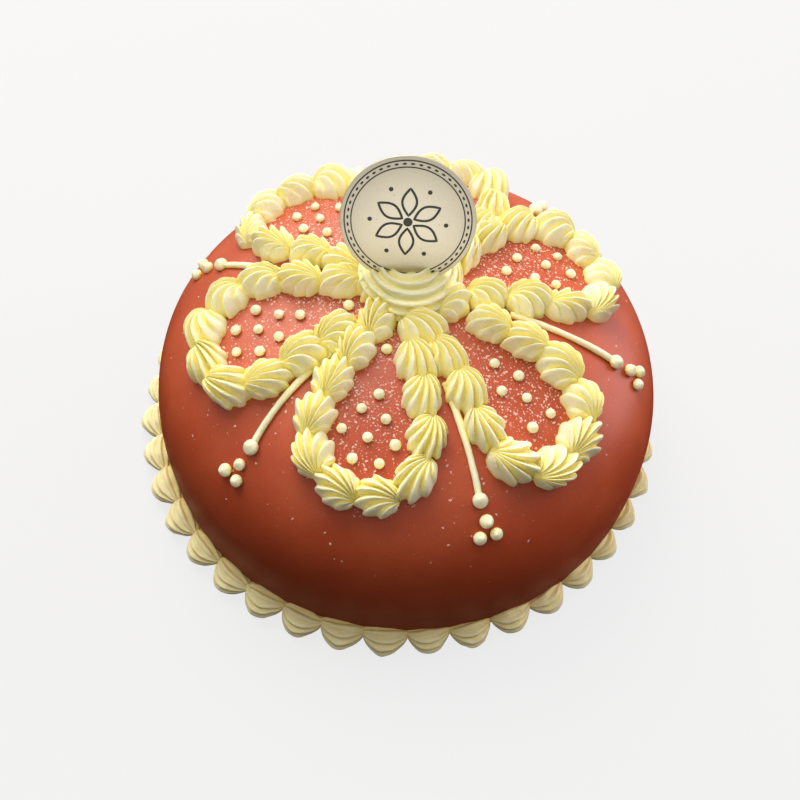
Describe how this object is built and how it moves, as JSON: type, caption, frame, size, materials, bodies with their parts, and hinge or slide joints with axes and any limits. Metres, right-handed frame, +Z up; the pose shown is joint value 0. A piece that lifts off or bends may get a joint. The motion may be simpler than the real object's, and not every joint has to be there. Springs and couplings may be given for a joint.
{
  "type": "princess cake",
  "caption": "Low domed cake under smooth marzipan, with a piped cream flower, sugar dots, a rosette that holds a round plaque, and a shell border round its foot.",
  "frame": {"origin": "on the plane that the cake stands on, at the centre of the shell border", "axes": "+Z up, -Y towards the side that the plaque faces, +X to the right seen from there"},
  "size_m": [0.2172, 0.2172, 0.1235],
  "materials": {
    "marzipan": "smooth satin marzipan, terracotta pink",
    "buttercream": "soft satin piped cream, pale yellow",
    "plaque": "satin card with a fine dark printed ring"
  },
  "bodies": {
    "root": {"cake": "marzipan", "petal_front": "buttercream", "petal_right": "buttercream", "petal_right_back": "buttercream", "petal_back": "buttercream", "petal_left_back": "buttercream", "petal_left": "buttercream", "rosette": "buttercream", "border": "buttercream", "plaque": "plaque"}
  },
  "joints": []
}
